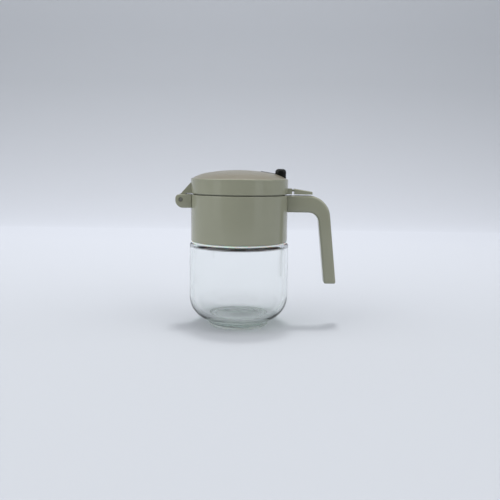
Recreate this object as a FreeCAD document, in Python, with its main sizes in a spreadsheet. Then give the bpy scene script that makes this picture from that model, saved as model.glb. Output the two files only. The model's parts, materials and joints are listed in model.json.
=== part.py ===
"""Spice jar: an empty glass jar in a plastic collar with a handle, under a hinged lid with a knob.

The origin is the middle of the jar's underside. +Z is up, +X points to the handle, and the
hinge is on the -X side, with its pin along Y. All sizes are in millimetres.
"""
import FreeCAD, Part
import math
import os
import re
import Sketcher

# The driving dimensions: alias, size, and what it measures.
SIZES = (
    # Glass jar
    ("jar_dia", 80.0, "outside diameter of the glass"),
    ("jar_wall", 3.0, "thickness of the glass wall"),
    ("jar_straight", 64.6, "height at which the straight wall ends"),
    ("jar_heel", 19.4, "outside radius between wall and underside"),
    ("jar_heel_inside", 16.0, "inside radius between wall and floor"),
    ("jar_floor", 5.4, "height of the middle of the inside floor"),
    ("floor_round", 110.0, "radius of the hollow inside floor"),
    ("foot_inset", 15.85, "foot's side in from the glass wall"),
    ("foot_height", 3.8, "height of the foot below the heel"),
    ("foot_round", 1.3, "rounding of the foot's lower edge"),
    ("foot_blend", 1.5, "hollow blend between foot and heel"),
    ("shoulder_round", 2.4, "outside radius of the shoulder"),
    ("shoulder_glass", 2.2, "thickness of the glass at the shoulder"),
    ("shoulder_inside", 1.0, "inside radius under the shoulder"),
    ("neck_inset", 6.0, "neck's side in from the glass wall"),
    ("neck_wall", 3.2, "thickness of the neck"),
    ("neck_height", 28.2, "height of the neck above the shoulder"),
    ("lip_round", 0.9, "rounding of the lip's two edges"),
    # Seal
    ("seal_height", 1.4, "thickness of the seal between shoulder and collar"),
    ("seal_inset", 0.35, "seal's edge in from the collar's side"),
    ("seal_edge", 0.5, "rounding of the seal's outer edges"),
    # Collar
    ("collar_inset", 1.15, "step in from the glass wall to the collar"),
    ("collar_cup", 8.0, "depth of the collar above its ledge"),
    ("collar_wall", 2.4, "thickness of the collar above its ledge"),
    ("collar_foot_round", 0.8, "rounding of the collar's lower edge"),
    ("collar_rim_round", 0.6, "rounding of the collar's upper edge"),
    ("neck_clearance", 0.25, "gap round the neck"),
    ("ledge_thick", 2.4, "thickness of the ledge that sits on the lip"),
    ("ledge_reach", 0.9, "how far the ledge reaches in past the lip"),
    # Hinge
    ("ear_nose", 4.3, "reach of the ears past the pin's axis"),
    ("ear_top_round", 3.0, "radius of the ears' upper corner"),
    ("ear_low_round", 6.0, "radius of the ears' lower corner"),
    ("ear_thick", 4.0, "thickness of each ear"),
    ("ear_edge", 0.7, "rounding of the ears' outer edges"),
    ("slot_width", 13.0, "gap between the ears"),
    ("slot_web", 2.4, "web that joins the ears underneath"),
    ("slot_back", 0.4, "material left between slot and collar"),
    ("pin_reach", 7.3, "pin axis out from the collar"),
    ("pin_drop", 4.1, "pin axis below the top of the ears"),
    ("pin_dia", 2.5, "diameter of the hinge pin"),
    ("pin_seat", 0.02, "radial gap round the pin in the ears"),
    ("pin_running", 0.06, "radial gap round the pin in the lid's arm"),
    ("recess_ring", 0.5, "width of the recess round the pin's end"),
    ("recess_deep", 0.9, "depth of that recess"),
    ("pin_dome", 0.6, "rounding of the pin's ends"),
    ("pin_shy", 0.15, "how far the pin's ends stay inside the ears"),
    # Handle
    ("handle_width", 12.0, "width of the handle along Y"),
    ("handle_depth", 13.55, "depth of the handle's upper arm"),
    ("handle_reach", 32.2, "outer corner of the handle out from the collar"),
    ("handle_drop", 71.2, "height of the handle from its top to its end"),
    ("grip_lean", 7.9, "how far the grip leans out over the handle's height"),
    ("grip_root", 9.7, "thickness of the grip under the upper arm"),
    ("grip_end", 9.7, "thickness of the grip at its end"),
    ("handle_outer_round", 18.0, "radius of the handle's outer corner"),
    ("handle_inner_round", 8.5, "radius of the handle's inner corner"),
    ("grip_end_round", 1.6, "rounding of the grip's end"),
    ("handle_edge", 2.0, "rounding along the handle's sides"),
    # Lid
    ("lid_gap", 0.9, "height of the shadow gap under the lid"),
    ("lid_seat", 0.3, "gap between the lid's seat and the collar"),
    ("lid_height", 11.9, "height of the lid's side"),
    ("lid_wall", 2.2, "thickness of the lid's side"),
    ("lid_edge", 0.6, "rounding of the lid's upper edge"),
    ("lid_low_edge", 0.5, "rounding of the lid's lower edge"),
    ("gap_depth", 1.6, "depth of the shadow gap"),
    ("rim_width", 0.95, "width of the rim round the dome"),
    ("rim_step", 0.25, "step down from the rim to the dome"),
    ("dome_rise", 6.7, "rise of the dome above the rim"),
    ("crown_drop", 2.33, "fall of the dome over its flatter middle"),
    ("crown_margin", 11.9, "width of the steeper ring round that middle"),
    ("dome_thick", 2.2, "thickness of the dome"),
    ("plug_play", 1.25, "gap between the collar and the lid's plug"),
    ("plug_wall", 2.0, "thickness of the plug"),
    ("plug_deep", 3.1, "reach of the plug below the top of the collar"),
    ("channel_roof", 2.6, "thickness left above the channel round the plug"),
    # Hinge arm on the lid
    ("barrel_round", 3.3, "radius of the arm's barrel round the pin"),
    ("barrel_gap", 0.8, "gap under that barrel"),
    ("arm_top", 8.25, "where the arm meets the lid's side, above the lid's lower edge"),
    ("arm_play", 0.3, "gap on each side between arm and ears"),
    # Thumb tab on the lid
    ("tab_width", 11.0, "width of the thumb tab along Y"),
    ("tab_block", 2.95, "length of the block next to the lid"),
    ("tab_gap", 1.9, "length of the gap after the block"),
    ("tab_wedge", 14.4, "length of the wedge"),
    ("block_height", 4.5, "height of that block"),
    ("wedge_height", 4.4, "height of the wedge's near end"),
    ("tab_tip", 2.1, "height of the wedge's tip"),
    ("bridge_low", 2.2, "underside of the bridge above the tab's underside"),
    ("bridge_thick", 1.5, "thickness of the bridge"),
    ("bridge_width", 7.0, "width of the bridge along Y"),
    ("bridge_bite", 0.5, "reach of the bridge into the block and the wedge"),
    ("wedge_edge", 0.6, "rounding of the wedge's upper edges"),
    # Knob
    ("knob_inset", 1.85, "knob's outer face in from the lid's side"),
    ("knob_length", 8.6, "length of the knob along X"),
    ("knob_width", 9.6, "width of the knob along Y"),
    ("knob_above", 1.3, "height of the knob above the top of the dome"),
    ("knob_corner", 3.0, "radius of the knob's upright corners"),
    ("knob_round", 2.7, "rounding of the knob's top"),
    ("knob_seat", 0.05, "gap between dome and knob"),
    ("tongue_length", 11.5, "length of the knob's tongue"),
    ("tongue_width", 5.0, "width of the tongue"),
    ("tongue_thick", 0.3, "thickness of the tongue"),
    ("cut_past", 1.0, "how far a cut or a trimmed root runs past the surface"),
)

# The largest shares of the ears' height that the rounds at their ends may take.
EAR_TOP_SHARE = 0.4
EAR_LOW_SHARE = 0.58

# An edge passes through a picked point when it is this near, in millimetres.
TOUCHING = 0.001

# Features that have to take material away.
CUTS = ("PartDesign::Pocket", "PartDesign::Groove", "PartDesign::SubtractiveCylinder")

# Places worked out from the driving dimensions, as expressions.
JAR_RADIUS = "jar_dia / 2"
HEEL_CENTRE_R = f"({JAR_RADIUS} - jar_heel)"
HEEL_CENTRE_Z = "(foot_height + jar_heel)"
SHOULDER_Z = "(jar_straight + shoulder_round)"
FOOT_RADIUS = f"({JAR_RADIUS} - foot_inset)"
NECK_RADIUS = f"({JAR_RADIUS} - neck_inset)"
BORE_RADIUS = f"({NECK_RADIUS} - neck_wall)"
LIP_Z = f"({SHOULDER_Z} + neck_height)"
COLLAR_RADIUS = f"({JAR_RADIUS} - collar_inset)"
COLLAR_LOW = f"({SHOULDER_Z} + seal_height)"
SLEEVE_RADIUS = f"({NECK_RADIUS} + neck_clearance)"
COLLAR_INSIDE = f"({COLLAR_RADIUS} - collar_wall)"
LEDGE_TOP = f"({LIP_Z} + ledge_thick)"
COLLAR_TOP = f"({LEDGE_TOP} + collar_cup)"
PIN_X = f"(-{COLLAR_RADIUS} - pin_reach)"
PIN_Z = f"({COLLAR_TOP} - pin_drop)"
EAR_END = f"({COLLAR_RADIUS} + pin_reach + ear_nose)"
SLOT_FLOOR = f"({PIN_Z} - barrel_round - barrel_gap)"
EAR_LOW = f"({SLOT_FLOOR} - slot_web)"
EAR_SPAN = "(slot_width + 2 * ear_thick)"
LID_LOW = f"({COLLAR_TOP} + lid_gap)"
LID_TOP = f"({LID_LOW} + lid_height)"
DOME_RADIUS = f"({COLLAR_RADIUS} - rim_width)"
DOME_FOOT = f"({LID_TOP} - rim_step)"
DOME_TOP = f"({LID_TOP} + dome_rise)"
CROWN_REACH = f"({DOME_RADIUS} - crown_margin)"
CROWN_EDGE = f"({DOME_TOP} - crown_drop)"
CROWN_ROUND = f"(({CROWN_REACH}^2 + crown_drop^2) / (2 * crown_drop))"
CROWN_CENTRE = f"({DOME_TOP} - {CROWN_ROUND})"
WALL_BITE = "(collar_wall / 2)"

doc = FreeCAD.newDocument("spice_jar")


def make_sheet():
    """Spreadsheet of the driving dimensions, one alias for each."""
    sheet = doc.addObject("Spreadsheet::Sheet", "sizes")
    for row, (alias, size, meaning) in enumerate(SIZES, start=1):
        sheet.set(f"A{row}", meaning)
        sheet.set(f"B{row}", str(size))
        sheet.setAlias(f"B{row}", alias)
    doc.recompute()
    return sheet


sizes = make_sheet()
ALIASES = {alias for alias, size, meaning in SIZES}


def bound(expression):
    """The expression with each alias written as a reference to its cell."""
    return re.sub(r"[a-z]\w*", lambda word: f"sizes.{word[0]}" if word[0] in ALIASES else word[0],
                  expression)


def number(expression):
    """Present value of an expression."""
    return float(sizes.evalExpression(bound(expression)))


def point(x, y, z):
    """Vector from three expressions."""
    return FreeCAD.Vector(number(x), number(y), number(z))


def new_body(name):
    """Empty body whose label names its file."""
    body = doc.addObject("PartDesign::Body", name)
    body.Label = name
    return body


def new_sketch(body, name):
    """Sketch on the body's own XZ plane."""
    sketch = body.newObject("Sketcher::SketchObject", name)
    plane = next(feature for feature in body.Origin.OriginFeatures if feature.Role == "XZ_Plane")
    sketch.AttachmentSupport = [(plane, "")]
    sketch.MapMode = "FlatFace"
    return sketch


def arc_between(start, finish, turn, radius):
    """Arc of under half a turn from start to finish, bending to the left or the right."""
    chord = finish - start
    side = 1 if turn == "left" else -1
    rise = math.sqrt(max(radius ** 2 - (chord.Length / 2) ** 2, 0))
    across = FreeCAD.Vector(-chord.y, chord.x, 0).normalize()
    centre = (start + finish) / 2 + across * (side * rise)
    first, last = (start, finish) if turn == "left" else (finish, start)
    angles = [math.atan2(end.y - centre.y, end.x - centre.x) for end in (first, last)]
    circle = Part.Circle(centre, FreeCAD.Vector(0, 0, 1), radius)
    return Part.ArcOfCircle(circle, angles[0], angles[1])


def draw_outline(sketch, corners):
    """Closed outline through the corners, each coordinate following its expression.

    A corner is (across, up), or (across, up, turn, radius) where an arc leaves it.
    """
    spots = [point(corner[0], corner[1], "0") for corner in corners]
    heads = []
    for corner, start, finish in zip(corners, spots, spots[1:] + spots[:1]):
        if len(corner) == 2:
            sketch.addGeometry(Part.LineSegment(start, finish))
            heads.append(1)
        else:
            turn, radius = corner[2:]
            edge = sketch.addGeometry(arc_between(start, finish, turn, number(radius)))
            heads.append(1 if turn == "left" else 2)
            bind(sketch, ("Radius", edge, number(radius)), radius)
    for edge, (corner, spot) in enumerate(zip(corners, spots)):
        following = (edge + 1) % len(corners)
        sketch.addConstraint(Sketcher.Constraint(
            "Coincident", edge, 3 - heads[edge], following, heads[following]))
        for kind, axis, place, along in (
                ("DistanceX", -2, spot.x, corner[0]), ("DistanceY", -1, spot.y, corner[1])):
            if along == "0":
                sketch.addConstraint(Sketcher.Constraint("PointOnObject", edge, heads[edge], axis))
            else:
                bind(sketch, (kind, -1, 1, edge, heads[edge], place), along)


def bind(sketch, constraint, expression):
    """Add a constraint whose value follows an expression."""
    index = sketch.addConstraint(Sketcher.Constraint(*constraint))
    sketch.setExpression(f"Constraints[{index}]", bound(expression))


def turn_profile(body, kind, name, corners):
    """Revolution or Groove of an outline about the Z axis."""
    sketch = new_sketch(body, f"{name}_profile")
    draw_outline(sketch, corners)
    feature = body.newObject(f"PartDesign::{kind}", name)
    feature.Profile = sketch
    feature.ReferenceAxis = (sketch, ["V_Axis"])
    return feature


def extrude_profile(body, kind, name, corners, width):
    """Pad or Pocket of an outline, half of its width to each side of the XZ plane."""
    sketch = new_sketch(body, f"{name}_profile")
    draw_outline(sketch, corners)
    feature = body.newObject(f"PartDesign::{kind}", name)
    feature.Profile = sketch
    feature.SideType = "Symmetric"
    feature.setExpression("Length", bound(width))
    return feature


def bore_along_y(body, name, x, z, start, length, radius):
    """Round hole along Y that begins at start."""
    bore = body.newObject("PartDesign::SubtractiveCylinder", name)
    bore.setExpression("Radius", bound(radius))
    bore.setExpression("Height", bound(length))
    bore.Placement.Rotation = FreeCAD.Rotation(FreeCAD.Vector(1, 0, 0), -90)
    bore.setExpression("Placement.Base.x", bound(x))
    bore.setExpression("Placement.Base.y", bound(start))
    bore.setExpression("Placement.Base.z", bound(z))


def round_edges(body, name, base, radius, spots):
    """Fillet the edges of the base feature that pass through the given points."""
    doc.recompute()
    found = set()
    for spot in spots:
        near = [index for index, edge in enumerate(base.Shape.Edges, start=1)
                if edge.distToShape(Part.Vertex(spot))[0] < TOUCHING]
        if not near:
            raise ValueError(f"{name}: no edge at {spot}")
        found.update(near)
    fillet = body.newObject("PartDesign::Fillet", name)
    fillet.Base = (base, [f"Edge{index}" for index in sorted(found)])
    fillet.setExpression("Radius", bound(radius))
    body.Tip = fillet
    return fillet


def make_glass_jar():
    """Clear glass: a foot, a wide round heel, a straight wall, a shoulder and a neck."""
    foot_top = f"({HEEL_CENTRE_Z} - sqrt(jar_heel^2 - ({FOOT_RADIUS} - {HEEL_CENTRE_R})^2))"
    inner_radius = f"({JAR_RADIUS} - jar_wall)"
    under_shoulder = f"({SHOULDER_Z} - shoulder_glass)"
    inner_centre_r = f"({inner_radius} - jar_heel_inside)"
    reach = "(floor_round - jar_heel_inside)"
    inner_drop = f"sqrt({reach}^2 - {inner_centre_r}^2)"
    floor_centre_z = "(jar_floor + floor_round)"
    body = new_body("glass_jar")
    wall = turn_profile(body, "Revolution", "glass_wall", (
        ("0", "0"),
        (FOOT_RADIUS, "0"),
        (FOOT_RADIUS, foot_top, "left", "jar_heel"),
        (JAR_RADIUS, HEEL_CENTRE_Z),
        (JAR_RADIUS, "jar_straight", "left", "shoulder_round"),
        (f"{JAR_RADIUS} - shoulder_round", SHOULDER_Z),
        (NECK_RADIUS, SHOULDER_Z),
        (NECK_RADIUS, LIP_Z),
        (BORE_RADIUS, LIP_Z),
        (BORE_RADIUS, under_shoulder),
        (f"{inner_radius} - shoulder_inside", under_shoulder, "right", "shoulder_inside"),
        (inner_radius, f"{under_shoulder} - shoulder_inside"),
        (inner_radius, f"{floor_centre_z} - {inner_drop}", "right", "jar_heel_inside"),
        (f"{inner_centre_r} * floor_round / {reach}",
         f"{floor_centre_z} - {inner_drop} * floor_round / {reach}", "right", "floor_round"),
        ("0", "jar_floor")))
    lip = round_edges(body, "lip_rounding", wall, "lip_round", (
        point(NECK_RADIUS, "0", LIP_Z), point(BORE_RADIUS, "0", LIP_Z)))
    foot = round_edges(body, "foot_rounding", lip, "foot_round", (
        point(FOOT_RADIUS, "0", "0"),))
    round_edges(body, "foot_blending", foot, "foot_blend", (
        point(FOOT_RADIUS, "0", foot_top),))
    return body


def make_seal():
    """Pale silicone ring between the jar's shoulder and the collar."""
    seal_radius = f"({COLLAR_RADIUS} - seal_inset)"
    body = new_body("seal_ring")
    turn_profile(body, "Revolution", "seal", (
        (SLEEVE_RADIUS, SHOULDER_Z),
        (f"{seal_radius} - seal_edge", SHOULDER_Z, "left", "seal_edge"),
        (seal_radius, f"{SHOULDER_Z} + seal_edge"),
        (seal_radius, f"{COLLAR_LOW} - seal_edge", "left", "seal_edge"),
        (f"{seal_radius} - seal_edge", COLLAR_LOW),
        (SLEEVE_RADIUS, COLLAR_LOW)))
    return body


def make_collar():
    """Plastic collar that sits on the lip, with the hinge ears and the handle in one moulding."""
    mouth_radius = f"({BORE_RADIUS} - ledge_reach)"
    body = new_body("collar")
    body.AllowCompound = True
    add_handle(body)
    add_ears(body)
    turn_profile(body, "Revolution", "collar_ring", (
        (SLEEVE_RADIUS, COLLAR_LOW),
        (f"{COLLAR_RADIUS} - collar_foot_round", COLLAR_LOW, "left", "collar_foot_round"),
        (COLLAR_RADIUS, f"{COLLAR_LOW} + collar_foot_round"),
        (COLLAR_RADIUS, f"{COLLAR_TOP} - collar_rim_round", "left", "collar_rim_round"),
        (f"{COLLAR_RADIUS} - collar_rim_round", COLLAR_TOP),
        (f"{COLLAR_INSIDE} + collar_rim_round", COLLAR_TOP, "left", "collar_rim_round"),
        (COLLAR_INSIDE, f"{COLLAR_TOP} - collar_rim_round"),
        (COLLAR_INSIDE, LEDGE_TOP),
        (mouth_radius, LEDGE_TOP),
        (mouth_radius, LIP_Z),
        (SLEEVE_RADIUS, LIP_Z)))
    return body


def add_ears(body):
    """Two ears for the hinge pin, joined by a web underneath."""
    root = f"-({COLLAR_RADIUS} - {WALL_BITE})"
    ear_height = f"({COLLAR_TOP} - {EAR_LOW})"
    top_round = f"min(ear_top_round; {ear_height} * {EAR_TOP_SHARE})"
    low_round = f"min(ear_low_round; {ear_height} * {EAR_LOW_SHARE})"
    ears = extrude_profile(body, "Pad", "ears", (
        (root, COLLAR_TOP),
        (f"-{EAR_END} + {top_round}", COLLAR_TOP, "left", top_round),
        (f"-{EAR_END}", f"{COLLAR_TOP} - {top_round}"),
        (f"-{EAR_END}", f"{EAR_LOW} + {low_round}", "left", low_round),
        (f"-{EAR_END} + {low_round}", EAR_LOW),
        (root, EAR_LOW)), EAR_SPAN)
    side = f"({EAR_SPAN} / 2)"
    middle_z = f"({COLLAR_TOP} - {top_round} + {EAR_LOW} + {low_round}) / 2"
    round_edges(body, "ear_rounding", ears, "ear_edge", [
        point(f"-{EAR_END}", f"{sign}{side}", middle_z) for sign in ("-", "")])
    slot_back_x = f"(-{COLLAR_RADIUS} - slot_back)"
    past_end = f"(-{EAR_END} - cut_past)"
    past_top = f"({COLLAR_TOP} + cut_past)"
    extrude_profile(body, "Pocket", "ear_slot", (
        (past_end, SLOT_FLOOR),
        (slot_back_x, SLOT_FLOOR),
        (slot_back_x, past_top),
        (past_end, past_top)), "slot_width")
    recess_radius = "(pin_dia / 2 + recess_ring)"
    bore_along_y(body, "pin_bore", PIN_X, PIN_Z, f"-{side} - cut_past",
                 f"{EAR_SPAN} + 2 * cut_past", "pin_dia / 2 + pin_seat")
    bore_along_y(body, "near_recess", PIN_X, PIN_Z, f"-{side} - cut_past",
                 "recess_deep + cut_past", recess_radius)
    bore_along_y(body, "far_recess", PIN_X, PIN_Z, f"{side} - recess_deep",
                 "recess_deep + cut_past", recess_radius)


def add_handle(body):
    """Handle: an arm level with the top of the collar, and a grip that leans outwards."""
    root = f"({COLLAR_RADIUS} - {WALL_BITE})"
    under = f"({COLLAR_TOP} - handle_depth)"
    end = f"({COLLAR_TOP} - handle_drop)"
    corner_x = f"({COLLAR_RADIUS} + handle_reach)"
    crook_x = f"({corner_x} + grip_lean * handle_depth / handle_drop - grip_root)"
    end_x = f"({corner_x} + grip_lean)"
    handle = extrude_profile(body, "Pad", "handle", (
        (root, under),
        (crook_x, under),
        (f"{end_x} - grip_end", end),
        (end_x, end),
        (corner_x, COLLAR_TOP),
        (root, COLLAR_TOP)), "handle_width")
    outer = round_edges(body, "handle_corner", handle, "handle_outer_round", (
        point(corner_x, "0", COLLAR_TOP),))
    inner = round_edges(body, "handle_crook", outer, "handle_inner_round", (
        point(crook_x, "0", under),))
    tip = round_edges(body, "grip_end_rounding", inner, "grip_end_round", (
        point(end_x, "0", end), point(f"{end_x} - grip_end", "0", end)))
    side = "handle_width / 2"
    round_edges(body, "handle_rounding", tip, "handle_edge", [
        point(f"{end_x} - grip_end / 2", f"{sign}{side}", end) for sign in ("-", "")])


def dome_corners(lift):
    """Top of the dome from its middle outwards: a flat crown, then a faster fall to the rim."""
    slope = f"({CROWN_REACH} / {CROWN_ROUND})"
    fall = f"({CROWN_EDGE} - {DOME_FOOT})"
    edge_round = (f"((crown_margin^2 + {fall}^2)"
                  f" / (2 * ({fall} * sqrt(1 - {slope}^2) - crown_margin * {slope})))")
    return (
        (DOME_RADIUS, f"{DOME_FOOT} + {lift}", "left", edge_round),
        (CROWN_REACH, f"{CROWN_EDGE} + {lift}", "left", CROWN_ROUND),
        ("0", f"{DOME_TOP} + {lift}"))


def make_lid():
    """Lid with a shallow dome in a thin rim, a plug underneath, a hinge arm and a thumb tab."""
    seat_z = f"({COLLAR_TOP} + lid_seat)"
    gap_radius = f"({COLLAR_RADIUS} - gap_depth)"
    wall_inside = f"({COLLAR_RADIUS} - lid_wall)"
    plug_radius = f"({COLLAR_INSIDE} - plug_play)"
    plug_inside = f"({plug_radius} - plug_wall)"
    plug_low = f"({COLLAR_TOP} - plug_deep)"
    channel_top = f"({LID_TOP} - channel_roof)"
    under_round = f"({CROWN_ROUND} - dome_thick)"
    under_edge = f"({CROWN_CENTRE} + sqrt({under_round}^2 - {plug_inside}^2))"
    body = new_body("lid")
    body.AllowCompound = True
    add_thumb_tab(body)
    add_hinge_arm(body)
    turn_profile(body, "Revolution", "lid_shell", dome_corners("0") + (
        ("0", f"{DOME_TOP} - dome_thick", "right", under_round),
        (plug_inside, under_edge),
        (plug_inside, plug_low),
        (plug_radius, plug_low),
        (plug_radius, channel_top),
        (wall_inside, channel_top),
        (wall_inside, seat_z),
        (gap_radius, seat_z),
        (gap_radius, LID_LOW),
        (f"{COLLAR_RADIUS} - lid_low_edge", LID_LOW, "left", "lid_low_edge"),
        (COLLAR_RADIUS, f"{LID_LOW} + lid_low_edge"),
        (COLLAR_RADIUS, f"{LID_TOP} - lid_edge", "left", "lid_edge"),
        (f"{COLLAR_RADIUS} - lid_edge", LID_TOP),
        (DOME_RADIUS, LID_TOP)))
    return body


def add_hinge_arm(body):
    """Arm that runs from the lid's side down to a barrel round the pin, between the ears."""
    root = f"-({COLLAR_RADIUS} - lid_wall / 2)"
    reach_x = f"(-{COLLAR_RADIUS} - {PIN_X})"
    reach_z = f"({LID_LOW} + arm_top - {PIN_Z})"
    span = f"({reach_x}^2 + {reach_z}^2)"
    tangent = f"sqrt({span} - barrel_round^2)"
    touch_x = f"({PIN_X} + barrel_round * (barrel_round * {reach_x} - {tangent} * {reach_z}) / {span})"
    touch_z = f"({PIN_Z} + barrel_round * (barrel_round * {reach_z} + {tangent} * {reach_x}) / {span})"
    extrude_profile(body, "Pad", "hinge_arm", (
        (root, f"{LID_LOW} + arm_top"),
        (f"-{COLLAR_RADIUS}", f"{LID_LOW} + arm_top"),
        (touch_x, touch_z, "left", "barrel_round"),
        (PIN_X, f"{PIN_Z} - barrel_round", "left", "barrel_round"),
        (f"{PIN_X} + barrel_round", PIN_Z),
        (f"{PIN_X} + barrel_round", LID_LOW),
        (root, LID_LOW)), "slot_width - 2 * arm_play")
    bore_along_y(body, "arm_bore", PIN_X, PIN_Z, "-slot_width / 2", "slot_width",
                 "pin_dia / 2 + pin_running")


def add_thumb_tab(body):
    """Thumb tab over the handle: a block, a thin bridge and a wedge that slopes down outwards."""
    root = f"({COLLAR_RADIUS} - lid_wall / 2)"
    block_end = f"({COLLAR_RADIUS} + tab_block)"
    wedge_start = f"({block_end} + tab_gap)"
    wedge_end = f"({wedge_start} + tab_wedge)"
    block_top = f"({LID_LOW} + block_height)"
    wedge_top = f"({LID_LOW} + wedge_height)"
    tip_top = f"({LID_LOW} + tab_tip)"
    bridge_low = f"({LID_LOW} + bridge_low)"
    side = "(tab_width / 2)"
    wedge = extrude_profile(body, "Pad", "thumb_wedge", (
        (wedge_start, LID_LOW),
        (wedge_end, LID_LOW),
        (wedge_end, tip_top),
        (wedge_start, wedge_top)), "tab_width")
    round_edges(body, "wedge_rounding", wedge, "wedge_edge", [
        point(f"({wedge_start} + {wedge_end}) / 2", f"{sign}{side}", f"({wedge_top} + {tip_top}) / 2")
        for sign in ("-", "")])
    extrude_profile(body, "Pad", "thumb_block", (
        (root, LID_LOW),
        (block_end, LID_LOW),
        (block_end, block_top),
        (root, block_top)), "tab_width")
    extrude_profile(body, "Pad", "thumb_bridge", (
        (f"{block_end} - bridge_bite", bridge_low),
        (f"{wedge_start} + bridge_bite", bridge_low),
        (f"{wedge_start} + bridge_bite", f"{bridge_low} + bridge_thick"),
        (f"{block_end} - bridge_bite", f"{bridge_low} + bridge_thick")), "bridge_width")


def make_hinge_pin():
    """Steel pin across both ears, with rounded ends just inside their outer faces."""
    pin = doc.addObject("Part::Cylinder", "pin_rod")
    length = f"({EAR_SPAN} - 2 * pin_shy)"
    pin.setExpression("Radius", bound("pin_dia / 2"))
    pin.setExpression("Height", bound(length))
    pin.Placement.Rotation = FreeCAD.Rotation(FreeCAD.Vector(1, 0, 0), -90)
    pin.setExpression("Placement.Base.x", bound(PIN_X))
    pin.setExpression("Placement.Base.y", bound(f"-{length} / 2"))
    pin.setExpression("Placement.Base.z", bound(PIN_Z))
    doc.recompute()
    rounded = doc.addObject("Part::Fillet", "hinge_pin")
    rounded.Label = "hinge_pin"
    rounded.Base = pin
    ends = [index for index, edge in enumerate(pin.Shape.Edges, start=1)
            if isinstance(edge.Curve, Part.Circle)]
    rounded.Edges = [(index, number("pin_dome"), number("pin_dome")) for index in ends]
    return rounded


def make_knob():
    """Black knob with upright sides and a rounded top, and a thin tongue lying on the dome."""
    outer_x = f"({COLLAR_RADIUS} - knob_inset)"
    inner_x = f"({outer_x} - knob_length)"
    knob_top = f"({DOME_TOP} + knob_above)"
    root_z = f"({LID_TOP} - cut_past)"
    side = "(knob_width / 2)"
    body = new_body("knob")
    block = extrude_profile(body, "Pad", "knob_block", (
        (inner_x, root_z),
        (outer_x, root_z),
        (outer_x, knob_top),
        (inner_x, knob_top)), "knob_width")
    corners = round_edges(body, "knob_corners", block, "knob_corner", [
        point(x, f"{sign}{side}", DOME_TOP) for x in (inner_x, outer_x) for sign in ("-", "")])
    round_edges(body, "knob_crown", corners, "knob_round", (
        point(f"({inner_x} + {outer_x}) / 2", side, knob_top),))
    tongue_round = f"({CROWN_ROUND} + tongue_thick)"
    tongue_end = f"({inner_x} - tongue_length)"
    tongue_root = f"({inner_x} + knob_corner)"
    root_top = f"({CROWN_CENTRE} + sqrt({tongue_round}^2 - {tongue_root}^2))"
    end_top = f"({CROWN_CENTRE} + sqrt({tongue_round}^2 - {tongue_end}^2))"
    extrude_profile(body, "Pad", "tongue", (
        (tongue_end, root_z),
        (tongue_root, root_z),
        (tongue_root, root_top, "left", tongue_round),
        (tongue_end, end_top)), "tongue_width")
    rim_top = f"({LID_TOP} + knob_seat)"
    past_root = f"({root_z} - cut_past)"
    turn_profile(body, "Groove", "dome_seat", (
        (COLLAR_RADIUS, rim_top),
        (DOME_RADIUS, rim_top)) + dome_corners("knob_seat") + (
        ("0", past_root),
        (COLLAR_RADIUS, past_root)))
    return body


def main():
    """Make every piece, check it and write its file."""
    pieces = [make_glass_jar(), make_seal(), make_collar(), make_lid(), make_hinge_pin(),
              make_knob()]
    doc.recompute()
    for item in doc.Objects:
        if {"Invalid", "Error"} & set(item.State):
            raise ValueError(f"{item.Name} failed: {item.State}")
        if item.TypeId in CUTS and item.Shape.Volume >= item.BaseFeature.Shape.Volume:
            raise ValueError(f"{item.Name} cuts nothing")
    for piece in pieces:
        shape = piece.Shape
        if shape.isNull() or not shape.isValid() or len(shape.Solids) != 1:
            raise ValueError(f"{piece.Label} isn't one valid solid")
    os.makedirs("parts", exist_ok=True)
    for piece in pieces:
        piece.Shape.exportStep(f"parts/{piece.Label}.step")
        print(f"{piece.Label}: {piece.Shape.Volume:.0f} mm3")


main()
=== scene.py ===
"""Spice jar: the looks of an empty glass jar in a grey plastic collar under a hinged lid.

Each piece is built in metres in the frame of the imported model, and stands for one of its nodes.
"""

import json
import math

import bmesh
import bpy
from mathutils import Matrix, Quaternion, Vector


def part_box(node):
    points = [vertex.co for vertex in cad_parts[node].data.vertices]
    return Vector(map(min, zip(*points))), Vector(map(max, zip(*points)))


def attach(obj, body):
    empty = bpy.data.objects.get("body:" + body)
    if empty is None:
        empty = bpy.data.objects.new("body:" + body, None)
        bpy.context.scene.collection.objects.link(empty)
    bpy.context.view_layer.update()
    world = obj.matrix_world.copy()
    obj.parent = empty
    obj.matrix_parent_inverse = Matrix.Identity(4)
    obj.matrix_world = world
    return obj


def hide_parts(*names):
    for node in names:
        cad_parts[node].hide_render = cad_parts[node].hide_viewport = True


bl_info = {
    "name": "Spice Jar",
    "version": (1, 0, 0),
    "blender": (4, 5, 0),
    "location": "3D View > Sidebar > Spice Jar",
    "description": "Glass seasoning jar with a collar, a handle, a hinged lid and a knob",
    "category": "Add Mesh",
}

MM = 0.001
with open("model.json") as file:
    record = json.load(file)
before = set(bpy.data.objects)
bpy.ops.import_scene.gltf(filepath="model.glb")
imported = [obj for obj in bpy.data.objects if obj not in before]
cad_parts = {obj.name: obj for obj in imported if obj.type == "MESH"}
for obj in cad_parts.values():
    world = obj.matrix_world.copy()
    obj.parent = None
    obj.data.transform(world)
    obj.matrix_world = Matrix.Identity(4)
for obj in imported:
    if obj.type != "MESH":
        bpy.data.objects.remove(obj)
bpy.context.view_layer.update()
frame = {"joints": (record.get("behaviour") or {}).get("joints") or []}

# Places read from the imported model.
JAR_LOW, JAR_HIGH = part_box("glass_jar")
COLLAR_LOW, COLLAR_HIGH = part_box("collar")
LID_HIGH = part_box("lid")[1]
PIN_LOW, PIN_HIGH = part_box("hinge_pin")
KNOB_LOW, KNOB_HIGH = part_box("knob")
HINGE = Vector(frame["joints"][0]["pos_m"])

JAR_RADIUS = (JAR_HIGH.y - JAR_LOW.y) / 2
COLLAR_TOP = COLLAR_HIGH.z
PIN_RADIUS = (PIN_HIGH.z - PIN_LOW.z) / 2

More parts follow.
